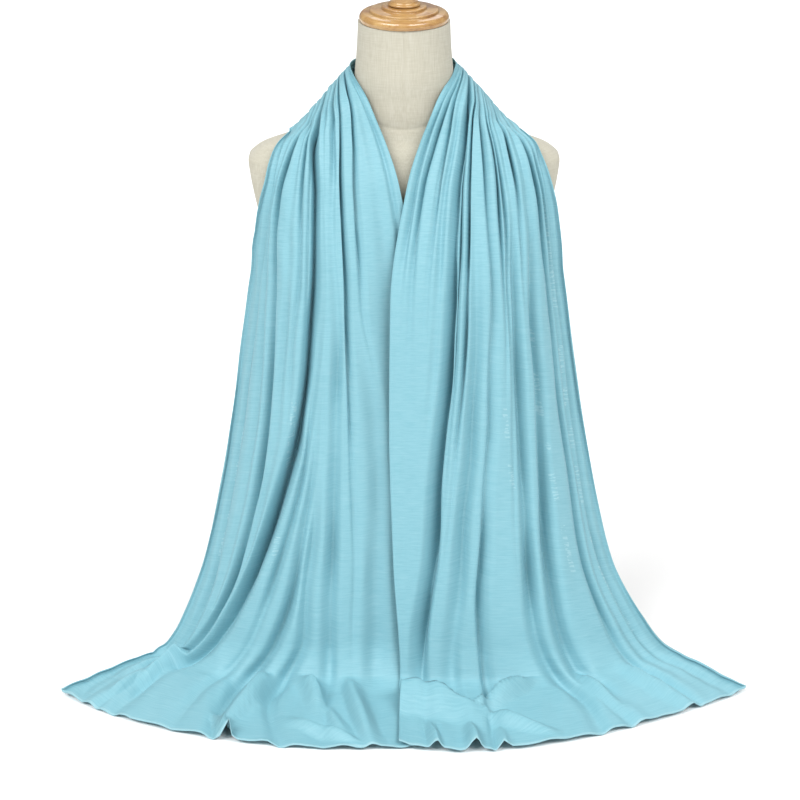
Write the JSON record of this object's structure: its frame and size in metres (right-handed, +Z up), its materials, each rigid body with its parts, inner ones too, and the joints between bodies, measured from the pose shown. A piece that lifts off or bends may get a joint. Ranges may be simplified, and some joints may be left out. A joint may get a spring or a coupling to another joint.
{
  "type": "hijab headscarf on a dress form",
  "caption": "Plain jersey headscarf gathered round the nape of a limbless dress form, with two long pleated falls lapped in front and lying out on the surface.",
  "frame": {"origin": "middle of the dress form's flat base, on the surface that it and both hems rest on", "axes": "+Z up, -Y to the front where both halves hang, +X to the viewer's right"},
  "size_m": [0.7953, 0.4016, 0.8303],
  "materials": {
    "jersey": "plain light aqua knit, soft and matt",
    "linen": "natural beige linen with slubs, matt",
    "wood": "honey wood under clear varnish"
  },
  "bodies": {
    "root": {"scarf_left_fall": "jersey", "scarf_right_fall": "jersey", "scarf_nape": "jersey", "form_torso": "linen", "neck_cap": "wood", "cap_knob": "wood"}
  },
  "joints": []
}
